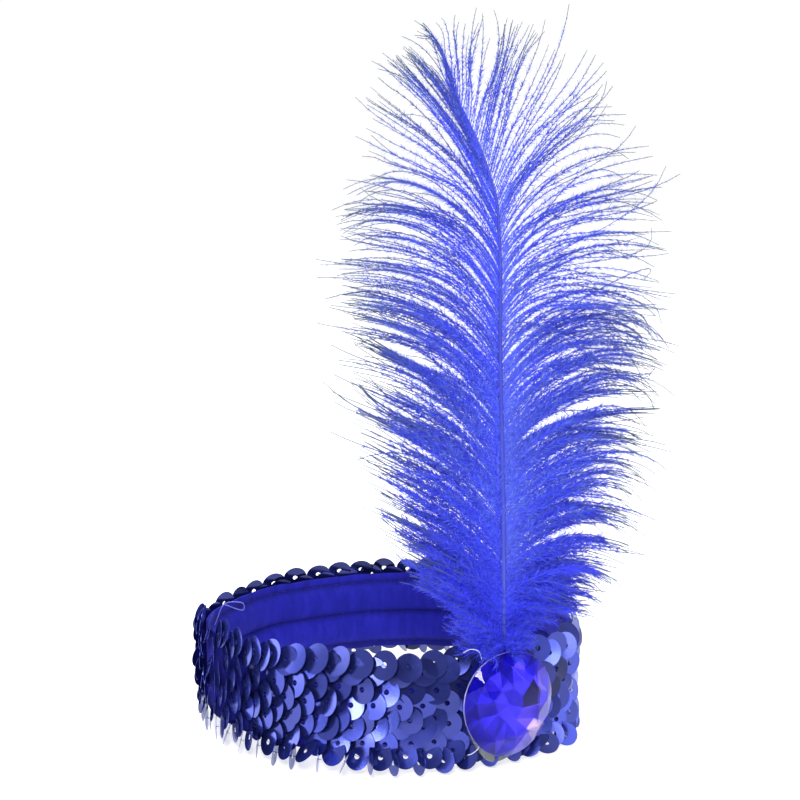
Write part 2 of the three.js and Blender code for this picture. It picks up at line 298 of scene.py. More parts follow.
def feather_material():
    n = Nodes("dyed_barbs")
    mottle = n.noise(260.0, 3.0)
    fine = n.noise(3500.0, 2.0)
    colour = n.mixed(n.range(mottle, 0.0, 0.7, 0.35, 0.7), n.tint(), (1.3, 1.3, 1.05), "MULTIPLY")
    n.to("Base Color", n.mixed(n.range(fine, 0.0, 0.3, 0.4, 0.7), colour, (0.72, 0.72, 0.85), "MULTIPLY"))
    n.set(Roughness=0.55, Specular_IOR_Level=0.3, Sheen_Weight=0.15, Sheen_Roughness=0.5,
          Sheen_Tint=(0.4, 0.45, 1.0, 1.0))
    return n.material


def quill_material():
    n = Nodes("dyed_quill")
    fibre = n.noise(1.0, 4.0, 0.6, n.stretched(2600.0, 2600.0, 60.0))
    n.to("Base Color", n.mixed(n.range(fibre, 0.0, 0.75, 0.35, 0.7), n.tint(), (0.55, 0.55, 0.7), "MULTIPLY"))
    n.to("Roughness", n.range(fibre, 0.6, 0.8))
    n.set(Specular_IOR_Level=0.2)
    n.bump(fibre, 0.4, 0.0001)
    return n.material


def stone_materials():
    body = Nodes("clear_acrylic")
    body.to("Base Color", body.ramp(body.noise(90.0, 2.0), ((0.3, (0.76, 0.74, 1.0)), (0.7, (0.84, 0.82, 1.0)))))
    body.set(Roughness=0.0, Transmission_Weight=1.0, IOR=1.46, Specular_Tint=(0.30, 0.27, 0.80, 1.0))
    foils = []
    # the stone's blue foils; the violet, dark and rose ones are painted reflection, and the pale rim one is a painted
    # highlight
    for name, dark, light in (("deep_foil", (0.014, 0.009, 0.40), (0.025, 0.016, 0.55)),
                              ("blue_foil", (0.038, 0.026, 0.74), (0.060, 0.040, 0.88)),
                              ("violet_reflection_foil", (0.10, 0.060, 0.94), (0.16, 0.095, 1.0)),
                              ("dark_reflection_foil", (0.008, 0.008, 0.045), (0.018, 0.018, 0.095)),
                              ("rose_reflection_foil", (0.55, 0.36, 0.75), (0.80, 0.60, 0.92)),
                              ("rim_highlight_foil", (0.42, 0.42, 0.86), (0.70, 0.70, 1.0))):
        foil = Nodes(name)
        foil.to("Base Color", foil.ramp(foil.noise(160.0, 3.0), ((0.3, dark), (0.7, light))))
        foil.set(Metallic=0.65, Specular_IOR_Level=0.2, Specular_Tint=(0.35, 0.35, 1.0, 1.0))
        foil.to("Roughness", foil.range(foil.noise(900.0, 2.0), 0.10, 0.22, 0.3, 0.7))
        foils.append(foil.material)
    return body.material, foils


def glue_material():
    n = Nodes("set_glue")
    cloud = n.noise(220.0, 4.0)
    n.to("Base Color", n.ramp(cloud, ((0.3, (0.52, 0.62, 0.60)), (0.7, (0.78, 0.85, 0.82)))))
    n.to("Roughness", n.range(cloud, 0.12, 0.32))
    n.set(Transmission_Weight=0.85, IOR=1.48)
    n.bump(cloud, 0.5, 0.0006)
    return n.material


def floor_material():
    n = Nodes("pale_floor")
    n.to("Base Color", n.ramp(n.noise(6.0, 2.0), ((0.3, (0.90, 0.90, 0.90)), (0.7, (0.92, 0.92, 0.92)))))
    n.set(Roughness=0.7, Specular_IOR_Level=0.2, Emission_Color=(1.0, 1.0, 1.0, 1.0), Emission_Strength=0.42)
    return n.material


SEQUIN = sequin_material()
VELVET = velvet_material()
THREAD = thread_material("navy_thread", (0.006, 0.007, 0.09), (0.014, 0.016, 0.20), 0.6)
SEAM_THREAD = thread_material("blue_thread", (0.006, 0.007, 0.12), (0.012, 0.013, 0.22), 0.8)
NYLON = thread_material("clear_thread", (0.62, 0.66, 0.96), (0.82, 0.86, 1.0), 0.25, 0.3)
LILAC = thread_material("lilac_thread", (0.12, 0.13, 0.56), (0.22, 0.24, 0.74), 0.35, 0.1)
FEATHER = feather_material()
QUILL = quill_material()
STONE, FOILS = stone_materials()
GLUE = glue_material()

# ---------------------------------------------------------------- camera, light, floor
scene = bpy.context.scene
camera_data = bpy.data.cameras.new("camera")
camera_data.sensor_width = 36.0
camera_data.lens = 66.24
camera_data.clip_start = 0.01
camera_data.clip_end = 50.0
camera = bpy.data.objects.new("camera", camera_data)
camera.location = tuple((np.array((-1.3, -528.5, 202.1)) + SHIFT) * 0.001)
camera.rotation_euler = (math.radians(81.0), 0.0, 0.0)
scene.collection.objects.link(camera)
scene.camera = camera
scene.view_settings.view_transform = "Standard"


def softbox(name, place, target, size, power):
    data = bpy.data.lights.new(name, "AREA")
    data.shape = "RECTANGLE"
    data.size, data.size_y = size
    data.energy = power
    lamp = bpy.data.objects.new(name, data)
    away = np.array(place) - np.array(target)
    yaw = math.atan2(away[1], away[0])
    tilt = math.acos(away[2] / np.linalg.norm(away))
    lamp.location = place
    lamp.rotation_euler = (0.0, tilt, yaw)
    lamp.visible_transmission = False
    scene.collection.objects.link(lamp)
    return lamp


softbox("strip_left", (-0.62, -0.65, 0.10), (-0.02, -0.05, 0.04), (0.17, 0.15), 1.9)
softbox("spark", (-0.052, -0.923, 0.621), (0.0235, -0.056, 0.034), (0.12, 0.12), 3.0)
softbox("side_left", (-0.95, 0.20, 0.30), (0.0, 0.0, 0.03), (0.60, 0.70), 5.5)
softbox("strip_right", (0.75, -0.42, 0.26), (0.03, -0.02, 0.03), (0.50, 0.16), 1.8)
softbox("front_high", (-0.22, -0.86, 0.84), (0.02, -0.03, 0.10), (0.6, 0.6), 8.0)
softbox("top", (0.0, 0.1, 1.3), (0.0, 0.0, 0.0), (1.4, 1.4), 5.0)

world = bpy.data.worlds.new("studio")
scene.world = world
world.use_nodes = True
wt = world.node_tree
wt.nodes.clear()
w_out = wt.nodes.new("ShaderNodeOutputWorld")
w_mix = wt.nodes.new("ShaderNodeMixShader")
w_seen = wt.nodes.new("ShaderNodeBackground")
w_seen.inputs["Color"].default_value = (1.0, 1.0, 1.0, 1.0)
w_seen.inputs["Strength"].default_value = 1.02
w_room = wt.nodes.new("ShaderNodeBackground")
w_path = wt.nodes.new("ShaderNodeLightPath")
w_dir = wt.nodes.new("ShaderNodeTexCoord")
w_front = wt.nodes.new("ShaderNodeVectorMath")
w_front.operation = "DOT_PRODUCT"
w_front.inputs[1].default_value = (-0.14, -0.99, 0.0)
w_ramp = wt.nodes.new("ShaderNodeMapRange")
w_ramp.inputs["From Min"].default_value = 0.97
w_ramp.inputs["From Max"].default_value = 0.62
w_ramp.inputs["To Min"].default_value = 0.12
w_ramp.inputs["To Max"].default_value = 1.0
wt.links.new(w_dir.outputs["Generated"], w_front.inputs[0])
wt.links.new(w_front.outputs["Value"], w_ramp.inputs["Value"])
wt.links.new(w_ramp.outputs["Result"], w_room.inputs["Strength"])
wt.links.new(w_path.outputs["Is Camera Ray"], w_mix.inputs[0])
wt.links.new(w_room.outputs[0], w_mix.inputs[1])
wt.links.new(w_seen.outputs[0], w_mix.inputs[2])
wt.links.new(w_mix.outputs[0], w_out.inputs[0])

floor_mesh = bpy.data.meshes.new("floor")
floor_mesh.from_pydata([(-6, -6, 0), (6, -6, 0), (6, 6, 0), (-6, 6, 0)], [], [(0, 1, 2, 3)])
floor_mesh.materials.append(floor_material())
floor = bpy.data.objects.new("floor", floor_mesh)
scene.collection.objects.link(floor)


# ---------------------------------------------------------------- elastic
def band_thickness(z):
    """Padded ribs between the sewn lines, thin flat edges beyond them."""
    thick = np.full_like(z, 1.25)
    for low, high in zip(SEAMS, SEAMS[1:]):
        inside = (z > low) & (z < high)
        part = np.clip((z - low) / (high - low), 0.0, 1.0)
        thick = np.where(inside, 1.2 + 2.9 * np.sin(math.pi * part) ** 0.7, thick)
    return thick


def build_elastic():
    rng = np.random.default_rng(11)
    steps = 270
    t = 2.0 * math.pi * np.arange(steps) / steps
    inner_z = np.concatenate([np.linspace(BAND_TOP - 0.25, SEAMS[2] + 0.3, 5),
                              SEAMS[2] - (SEAMS[2] - SEAMS[1]) * np.linspace(0.0, 1.0, 16)[:-1] ** 1.0,
                              SEAMS[1] - (SEAMS[1] - SEAMS[0]) * np.linspace(0.0, 1.0, 16)[:-1],
                              np.linspace(SEAMS[0], BAND_BOTTOM + 0.25, 5)])
    outer_z = np.linspace(BAND_BOTTOM + 0.25, BAND_TOP - 0.25, 9)
    z = np.concatenate([outer_z, [BAND_TOP], inner_z, [BAND_BOTTOM]])
    thick = band_thickness(z)
    inner = np.concatenate([np.zeros(len(outer_z)), [0.5], np.ones(len(inner_z)), [0.5]])
    # gathers along the sewn lines: short puckers that fade towards each rib's crest
    waves = np.zeros((steps, len(z)))
    for number, size in ((47, 0.10), (61, 0.12), (83, 0.10), (29, 0.13)):
        for rib in range(3):
            centre = SEAMS[rib]
            near = np.exp(-((z - centre) / 3.6) ** 2)
            waves += near * size * np.sin(number * t + rng.uniform(0, 6.3))[:, None]
    slack = 0.45 * np.sin(5 * t + 1.0) + 0.3 * np.sin(9 * t + 2.2)
    edge = 0.35 * np.sin(23 * t + 0.4) + 0.25 * np.sin(37 * t + 2.0)
    out = -(thick + waves * 0.8) * inner
    puff = np.where((z > SEAMS[0]) & (z < SEAMS[2]), 1.0, 0.0) * inner
    out = out - puff * 0.35 * slack[:, None] * np.abs(np.sin(math.pi * (z - SEAMS[0]) / 12.5))
    rim = np.where(z > SEAMS[2], (z - SEAMS[2]) / (BAND_TOP - SEAMS[2]), 0.0)
    rim = rim + np.where(z < SEAMS[0], (z - SEAMS[0]) / (SEAMS[0] - BAND_BOTTOM), 0.0)
    heights = z + 0.3 * rim * edge[:, None]
    points, _ = wall(t[:, None], out, heights)
    n, m = points.shape[:2]
    i, j = np.meshgrid(np.arange(n), np.arange(m), indexing="ij")
    a, b = (i + 1) % n, (j + 1) % m
    quads = np.stack([i * m + j, a * m + j, a * m + b, i * m + b], -1).reshape(-1, 4)
    # painted shade: darker along each sewn groove inside, and a little darker on the outer face under the sequins.
    # Below the lowest seam the band is darker still.
    tone_and_shade = np.full((n, m, 3), 0.88)
    for seam in SEAMS:
        tone_and_shade *= (1.0 - 0.5 * np.exp(-((z - seam) / 0.9) ** 2) * (inner > 0.9))[None, :, None]
    tone_and_shade *= np.where(z < SEAMS[0] - 0.4, 0.62, 1.0)[None, :, None]
    tone_and_shade *= np.where(inner < 0.4, 0.9, 1.0)[None, :, None]
    piece = make_piece("elastic", points.reshape(-1, 3), [quads], [VELVET], True, None, tone_and_shade.reshape(-1, 3))
    return piece


def build_seam_stitches():
    """Short running stitches sunk into the inside's sewn lines."""
    rng = np.random.default_rng(5)
    count, k = 128, 6
    parts = []
    for seam in SEAMS:
        start = (np.arange(count) + rng.uniform(-0.12, 0.12, count)) / count * 2.0 * math.pi
        u = np.linspace(0.0, 1.0, k)
        t = start[:, None] + u * (0.66 * 2.0 * math.pi / count)
        lift = 0.22 * np.sin(math.pi * u) - 0.12
        drift = rng.uniform(-0.22, 0.22, (count, 1)) + rng.uniform(-0.25, 0.25, (count, 1)) * (u - 0.5)
        paths, _ = wall(t, -(1.22 + lift) + 0 * t, seam + drift)
        verts, polys = tubes(paths, np.full((count, k), 0.11), 5, UP)
        parts.append((verts, polys, np.ones(3)))
    verts, polys, _ = joined(parts)
    return make_piece("seam_stitches", verts, polys, [SEAM_THREAD])


# ---------------------------------------------------------------- sequins
DISC_RADIUS, HOLE_RADIUS, DISC_THICK, DISC_SIDES = 4.6, 0.92, 0.13, 28
PERIODS = 46
# One repeat of each sewn row: place along the repeat, height, how far the leading edge points up
ROWS = (((0.00, 38.0, -0.34), (0.60, 36.0, -0.20), (0.10, 29.2, 0.10)),
        ((0.62, 24.2, -0.10), (0.08, 19.0, -0.06), (0.61, 16.6, -0.16)),
        ((0.10, 10.7, -0.22), (0.85, 6.9, -1.00), (0.37, 5.0, -0.10)))


def loop_stations():
    """Ellipse angle as a function of the distance round the loop; the back is more stretched."""
    t = np.linspace(0.0, 2.0 * math.pi, 7201)
    p, n = wall(t, 1.8, 22.0)
    turn = np.abs(np.degrees(np.arctan2(n[:, 0], -n[:, 1])))
    close = np.interp(turn, (50.0, 130.0), (1.0, 0.84))
    s = np.concatenate([[0.0], np.cumsum(np.linalg.norm(np.diff(p, axis=0), axis=1) * close[1:])])
    return s, t


STATION_S, STATION_T = loop_stations()
LOOP_LENGTH = STATION_S[-1]


def disc_layout(row, rng):
    """Three discs to each repeat of a row; each one's leading edge lies over the next."""
    count = PERIODS * 3
    k = np.arange(count)
    place, height, rise = (np.array(v)[k % 3] for v in zip(*ROWS[row]))
    period = LOOP_LENGTH / PERIODS
    s = (k // 3 + place) * period + rng.normal(0.0, 0.30, count)
    t = np.interp(s % LOOP_LENGTH, STATION_S, STATION_T)
    z = height + rng.normal(0.0, 0.35, count)
    ahead, behind = wall(t + 0.02, 0.0, z)[0], wall(t - 0.02, 0.0, z)[0]
    along = unit((ahead - behind) * (1.0, 1.0, 0.0))
    above, below = wall(t, 0.0, z + 2.0)[0], wall(t, 0.0, z - 2.0)[0]
    n = unit(np.cross(along, above - below))
    # the discs stand out most at the left, and lie flattest across the front
    turn = np.degrees(np.arctan2(n[:, 0], -n[:, 1]))
    tilt = np.interp(turn, (-180, -125, -100, -60, -16, -6, 16, 30, 60, 84, 110, 140, 180),
                     (11, 13, 24, 26, 16, 16, 17, 23, 18, 12, 11, 11, 11))
    # along the back the top discs stand free of the elastic's edge, and the left end stands taller
    z = z + (row == 0) * (k % 3 == 0) * np.interp(np.abs(turn), (90, 125), (0.0, 0.9))
    z = z + (4.0, 2.0, 0.0)[row] * np.interp(turn, (-88, -76, -55, -34), (0.0, 1.0, 0.8, 0.0))
    z = z - (row == 0) * np.interp(turn, (-158, -128, -100, -80), (0.0, 2.6, 3.4, 0.0))
    tilt = tilt + rng.normal(0.0, 1.0, count) * np.interp(turn, (20, 45, 65, 95), (4.2, 8.0, 7.0, 3.5))
    tilt = tilt + 12.0 * (rng.random(count) < 0.10) * rng.normal(0.0, 1.0, count)
    tilt = np.minimum(tilt, np.interp(turn, (50, 68, 118, 135), (60.0, 15.0, 15.0, 60.0)))
    # the upper rows look up a little across the front; the right end is the least even
    front = (16.0, 11.0, 6.0)[row]
    nod = np.interp(turn, (-150, -120, -40, -14, 30, 45, 120, 150), (18.0, 3.0, 3.0, front, front, 3.0, 3.0, 18.0))
    nod = np.radians(nod + rng.normal(0.0, 1.0, count) * np.interp(turn, (-30, 20, 40, 120), (3.5, 5.0, 10.0, 6.0)))
    upward = unit(UP - n * n[:, 2:])
    n = n * np.cos(nod)[:, None] + upward * np.sin(nod)[:, None]
    rise = rise + rng.normal(0.0, 0.13, count)
    if row == 2:
        low, free = (k % 3 == 1), (k % 3 == 2)
        flare = np.interp(turn, (-170, -140, -50, -30, 50, 70, 115, 135), (1.0, 0.15, 0.15, 1.0, 1.0, 0.25, 0.25, 1.0))
        tilt = np.where(low, tilt + rng.uniform(2.0, 14.0, count) * flare, tilt)
        rise = np.where(low, (rise + rng.uniform(-0.5, 0.5, count)) * flare, rise)
        # thin free discs that hang edge-on below the rest
        edge_on = np.where((turn > -85.0) & (turn < 0.0), turn + 86.0 + rng.normal(0.0, 7.0, count), rng.uniform(48.0, 74.0, count))
        edge_on = np.where(((turn > -165.0) & (turn <= -85.0)) | ((turn > 58.0) & (turn < 125.0)), 12.0, edge_on)
        tilt = np.where(free, edge_on.clip(12.0, 76.0), tilt)
        rise = np.where(free, rng.uniform(-0.55, 0.1, count), rise)
    tilt = np.radians(tilt.clip(6.0, 76.0))
    lead = unit(along + UP * rise[:, None])
    m = n * np.cos(tilt)[:, None] - lead * np.sin(tilt)[:, None]
    z = z + np.maximum(0.0, 0.5 - (z - DISC_RADIUS * np.sqrt(1.0 - m[:, 2] ** 2)))
    centre = wall(t, 0.0, z)[0] + n * (DISC_RADIUS * np.sin(tilt) + 0.28)[:, None]
    x = unit(lead - np.sum(lead * m, -1, keepdims=True) * m)
    return centre, x, np.cross(m, x), m, t, z


def build_sequins(row):
    rng = np.random.default_rng(100 + row)
    centre, x, y, m, t, z = disc_layout(row, rng)
    count = len(centre)
    a = 2.0 * math.pi * np.arange(DISC_SIDES) / DISC_SIDES
    radii = np.array([HOLE_RADIUS, 2.6, DISC_RADIUS])
    lx = (radii[:, None] * np.cos(a)).ravel()
    ly = (radii[:, None] * np.sin(a)).ravel()
    size = rng.normal((1.03, 1.0, 0.94)[row], 0.012, (count, 1))
    where = np.degrees(np.arctan2(centre[:, :1], -centre[:, 1:2]))
    size = size * np.interp(where, (-75.0, -55.0, -20.0, 0.0), (1.0, 1.06, 1.06, 1.0))
    lx, ly = lx * size, ly * size
    # a slight bend, each disc its own way, and a slight cup
    turn = rng.uniform(0.0, math.pi, (count, 1))
    bend = rng.normal(0.0, 0.0075, (count, 1)) * (lx * np.cos(turn) + ly * np.sin(turn)) ** 2
    bend = bend - 0.003 * (lx ** 2 + ly ** 2)
    flat = centre[:, None] + x[:, None] * lx[..., None] + y[:, None] * ly[..., None] + m[:, None] * bend[..., None]
    half = m[:, None] * (DISC_THICK / 2.0)
    verts = np.concatenate([flat + half, flat - half], 1)
    ring = DISC_SIDES
    j = np.arange(ring)
    n = (j + 1) % ring
    front = [np.stack([q * ring + j, (q + 1) * ring + j, (q + 1) * ring + n, q * ring + n], -1) for q in (0, 1)]
    under = 3 * ring
    back = [under + np.stack([q * ring + n, (q + 1) * ring + n, (q + 1) * ring + j, q * ring + j], -1) for q in (0, 1)]
    outer = np.stack([2 * ring + j, under + 2 * ring + j, under + 2 * ring + n, 2 * ring + n], -1)
    inner = np.stack([j, n, under + n, under + j], -1)
    one = np.concatenate(front + back + [outer, inner])
    rims = np.repeat((1, 0, 2, 3, 0, 4), ring)
    polys = (np.arange(count)[:, None, None] * (6 * ring) + one).reshape(-1, 4)
    face = np.array((0.042, 0.060, 0.40))
    # the film's darker back, darkened further as painted shade
    rear = np.array((0.021, 0.028, 0.145))
    tone_and_shade = rng.normal(1.0, 0.17, (count, 1, 1)).clip(0.6, 1.45)
    # painted light and shade: the right end's discs get a much wider spread of brightness, from near-black ones to
    # painted glints
    tone_and_shade = np.where(where[..., None] > 45.0, 1.0 + 2.5 * (tone_and_shade - 1.0), tone_and_shade).clip(0.2, 1.9)
    # painted shade: the film is darkened across the front, most in the top row there, for the dark surroundings that
    # these discs reflect
    face = face * np.interp(where, (-80.0, -60.0, -10.0, 20.0, 45.0), (1.0, 0.86, 0.74, 0.72, 0.76))[..., None]
    face = face * np.interp(where, (-34.0, -20.0, 24.0, 34.0), (1.0, (0.74, 0.92, 1.0)[row], (0.74, 0.92, 1.0)[row], 1.0))[..., None]
    colours = np.empty(verts.shape)
    colours[:, :under] = face * tone_and_shade
    colours[:, under:] = rear * tone_and_shade
    return make_piece(f"sequins_row_{row + 1}", verts.reshape(-1, 3), [polys], [SEQUIN],
                      True, None, colours.reshape(-1, 3), np.tile(rims, count))


def build_sequin_stitches():
    """Each disc's thread: out through its hole and back over its rear half."""
    parts = []
    for row in range(3):
        rng = np.random.default_rng(100 + row)
        centre, x, y, m, t, z = disc_layout(row, rng)
        count = len(centre)
        wobble = np.random.default_rng(40 + row).normal(0.0, 0.35, (count, 1))
        back = unit(-x + y * wobble)
        depth = np.linspace(0.0, 1.0, 7)
        run = np.array([-0.10, 0.0, 0.14, 0.40, 0.66, 0.80, 0.84])
        rise = np.array([-1.1, -0.30, 0.06, 0.17, 0.17, 0.10, 0.02])
        paths = centre[:, None] + back[:, None] * run[:, None] + m[:, None] * rise[:, None]
        verts, polys = tubes(paths, np.full((count, len(depth)), 0.11), 4, y[:, None])
        parts.append((verts, polys, np.ones(3)))
    verts, polys, _ = joined(parts)
    return make_piece("sequin_stitches", verts, polys, [THREAD])


def smooth_line(points, count):
    """A smooth line through a few points."""
    points = np.array(points, float)
    n = len(points)
    ends = np.concatenate([[2 * points[0] - points[1]], points, [2 * points[-1] - points[-2]]])
    at = np.linspace(0.0, n - 1 - 1e-9, count)
    i, f = at.astype(int), (at % 1.0)[:, None]
    a, b, c, d = (ends[i + q] for q in range(4))
    return 0.5 * (2 * b + (c - a) * f + (2 * a - 5 * b + 4 * c - d) * f ** 2 + (3 * b - a - 3 * c + d) * f ** 3)


def build_loose_threads():
    """Ends of clear thread: a loop over the left rim and two strands by the stone."""
    rim = wall(math.radians(-186.0), -0.6, 37.6)[0] + (3.6, 0.0, 0.0)
    loop = rim + np.array([(-1.2, 0.4, -2.0), (0.0, 0.0, 0.8), (2.0, -1.0, 5.6), (4.6, -1.8, 7.4), (8.4, -2.2, 7.5), (9.7, -2.1, 7.0),
                           (10.1, -1.8, 5.8), (9.7, -1.4, 4.4), (8.8, -1.2, 4.2), (6.6, -1.3, 4.9), (3.8, -1.6, 6.1), (2.9, -1.4, 6.2)])
    origin, gx, gy, gz = gem_frame()
    near = lambda rows: origin + np.array([x * gx + y * gy + z * gz for x, y, z in rows])
    low = near([(-10.9, -12.6, 0.4), (-12.1, -13.6, 1.0), (-14.0, -15.0, 0.2), (-14.9, -15.6, -1.0)])
    high = near([(-14.3, 20.3, -1.2), (-11.9, 21.3, -0.2), (-9.3, 20.2, 0.6), (-8.1, 16.9, 0.2)])
    parts = []
    for line, radius in ((smooth_line(low, 20), 0.13), (smooth_line(high, 24), 0.11)):
        verts, polys = tubes(line[None], np.full((1, len(line)), radius), 8, np.array((0.31, 0.93, 0.2)))
        parts.append((verts, polys, np.ones(3)))
    verts, polys, _ = joined(parts)
    ends = make_piece("clear_thread_ends", verts, polys, [NYLON])
    line = smooth_line(loop, 60)
    verts, polys = tubes(line[None], np.full((1, len(line)), 0.17), 8, np.array((0.31, 0.93, 0.2)))
    return [ends, make_piece("thread_loop", verts, polys, [LILAC])]


# ---------------------------------------------------------------- stone and glue
def gem_frame():
    origin, outward = wall(GEM_STATION, GEM_BACK, GEM_CENTRE)
    along = np.cross(UP, outward)
    c, s = math.cos(GEM_TILT), math.sin(GEM_TILT)
    return origin, along * c + UP * s, UP * c - along * s, outward


def egg(angle, scale):
    y = GEM_HEIGHT / 2.0 * np.sin(angle) * scale
    x = GEM_WIDTH / 2.0 * np.cos(angle) * (1.0 + GEM_NARROWING * np.sin(angle)) * scale
    return x, y


def build_gem():
    origin, gx, gy, gz = gem_frame()
    points, polys, mats = [], [], []

    def ring(count, turn, scale, level):
        start = len(points)
        for i in range(count):
            x, y = egg(2.0 * math.pi * (i + turn) / count, scale)
            points.append((x, y, level))
        return start

    def add(face, mat):
        polys.append(face)
        mats.append(mat)

    upper = ring(8, 0.5, 0.56, 7.25)
    star = ring(8, 0.0, 0.80, 5.3)
    girdle = ring(32, 0.0, 1.0, 2.3)
    lower = ring(32, 0.0, 0.992, 1.5)
    belly = ring(16, 0.5, 0.64, 0.55)
    core = ring(8, 0.5, 0.30, 0.35)
    for i in range(16):
        points[belly + i] = (*points[belly + i][:2], 0.25 if i % 2 else 0.95)
    for i in range(8):
        points[core + i] = (*points[core + i][:2], 0.15 if i % 2 else 0.80)
    points.append((-2.2, 1.4, 8.2))
    crest = len(points) - 1
    points.append((0.0, 0.0, 0.5))
    keel = len(points) - 1
    for k in range(8):
        n, p = (k + 1) % 8, (k - 1) % 8
        add((crest, upper + k, upper + n), 0)
        add((upper + p, star + k, upper + k), 0)
        # kites, in two flats, between an upper corner and the girdle
        mid = girdle + (4 * k + 2) % 32
        add((upper + k, star + k, mid), 0)
        add((upper + k, mid, star + n), 0)
        for q in range(2):
            add((star + k, girdle + 4 * k + q, girdle + 4 * k + q + 1), 0)
            add((star + n, girdle + (4 * k + 2 + q) % 32, girdle + (4 * k + 3 + q) % 32), 0)
        add((keel, core + n, core + k), 1)
        add((core + k, belly + (2 * k + 1) % 16, belly + 2 * k), 1)
        add((core + k, belly + (2 * k + 2) % 16, belly + (2 * k + 1) % 16), 1)
        add((core + k, core + n, belly + (2 * k + 2) % 16), 1)
    for k in range(16):
        n = (k + 1) % 16
        add((belly + k, lower + (2 * k + 1) % 32, lower + 2 * k), 1)
        add((belly + k, lower + (2 * k + 2) % 32, lower + (2 * k + 1) % 32), 1)
        add((belly + k, belly + n, lower + (2 * k + 2) % 32), 1)
    # painted highlight: the girdle band gets the pale rim foil
    for i in range(32):
        n = (i + 1) % 32
        add((girdle + i, lower + i, lower + n), 6)
        add((girdle + i, lower + n, girdle + n), 6)
    p = np.array(points)
    verts = origin + p[:, :1] * gx + p[:, 1:2] * gy + p[:, 2:] * gz
    # painted reflection: the blue foil's facets are painted by place, deep blue at the left to violet at the right,
    # with one dark facet and one rose facet, standing in for the stone's reflections
    rng = np.random.default_rng(8)
    for i, face in enumerate(polys):
        if mats[i] == 1:
            x, y, _ = p[list(face)].mean(0) / (GEM_WIDTH / 2.0, GEM_HEIGHT / 2.0, 1.0)
            hue = 1.1 * x - 0.25 * y + rng.normal(0.0, 0.32)
            mats[i] = 1 if hue < -0.22 else 2 if hue < 0.38 else 3
            if 0.38 < x < 0.62 and -0.16 < y < 0.26:
                mats[i] = 4
            elif 0.45 < x < 0.80 and -0.72 < y < -0.45:
                mats[i] = 5
    piece = make_piece("stone", verts, [np.array(polys)], [STONE, *FOILS], False, mats)
    bevel = piece.modifiers.new("worn_edges", "BEVEL")
    bevel.width = 0.00018
    bevel.segments = 2
    bevel.limit_method = "ANGLE"
    bevel.angle_limit = math.radians(4.0)
    return piece


def build_glue():
    rng = np.random.default_rng(21)
    origin, gx, gy, gz = gem_frame()
    count = 64
    a = 2.0 * math.pi * np.arange(count) / count
    ragged = np.zeros(count)
    for number in range(2, 9):
        ragged += rng.normal(0.0, 0.16 / number ** 0.3) * np.sin(number * a + rng.uniform(0, 6.3))
    levels = np.array([-5.6, -5.0, -4.2, -3.2, -2.2, -1.2, -0.55, -0.25])
    scales = np.array([0.70, 0.78, 0.83, 0.855, 0.865, 0.86, 0.845, 0.81])
    rings = []
    for level, scale in zip(levels, scales):
        x, y = egg(a, scale + 0.035 * ragged * (1.0 + 0.3 * math.sin(level * 1.7)))
        x = np.where(x < 0.0, 0.62 * x, 0.9 * x)
        rings.append(origin + (x - 3.8)[:, None] * gx + (y - 5.4)[:, None] * gy + level * gz)
    points = np.concatenate(rings)
    i, j = np.meshgrid(np.arange(len(levels) - 1), np.arange(count), indexing="ij")
    n = (j + 1) % count
    quads = np.stack([i * count + j, i * count + n, (i + 1) * count + n, (i + 1) * count + j], -1).reshape(-1, 4)
    centre = origin - 3.8 * gx - 5.4 * gy
    points = np.concatenate([points, [centre - 5.7 * gz, centre - 0.22 * gz]])
    k = np.arange(count)
    k2 = (k + 1) % count
    first = np.stack([np.full(count, len(points) - 2), k2, k], -1)
    top = (len(levels) - 1) * count
    last = np.stack([np.full(count, len(points) - 1), top + k, top + k2], -1)
    return make_piece("glue", points, [quads, np.concatenate([first, last])], [GLUE])


# ---------------------------------------------------------------- feather
FOOT = wall(QUILL_STATION, QUILL_OUT, QUILL_FOOT)[0]
SIDE_AXIS = np.array((math.cos(PLUME_TURN), math.sin(PLUME_TURN), 0.0))
DEPTH_AXIS = np.array((-math.sin(PLUME_TURN), math.cos(PLUME_TURN), 0.0))


def plume_point(side, depth, height):
    """A point of the plume's upright plane; the top leans back a little."""
    rise = np.maximum(0.0, (height - PLUME_BOTTOM) / (PLUME_TOP - PLUME_BOTTOM))
    back = depth + LEAN_BACK * rise ** 2
    return (FOOT * (1, 1, 0) + side[..., None] * SIDE_AXIS + back[..., None] * DEPTH_AXIS + height[..., None] * UP)


def shaft_side(height):
    return np.interp(height, SHAFT[:, 0], SHAFT[:, 1])


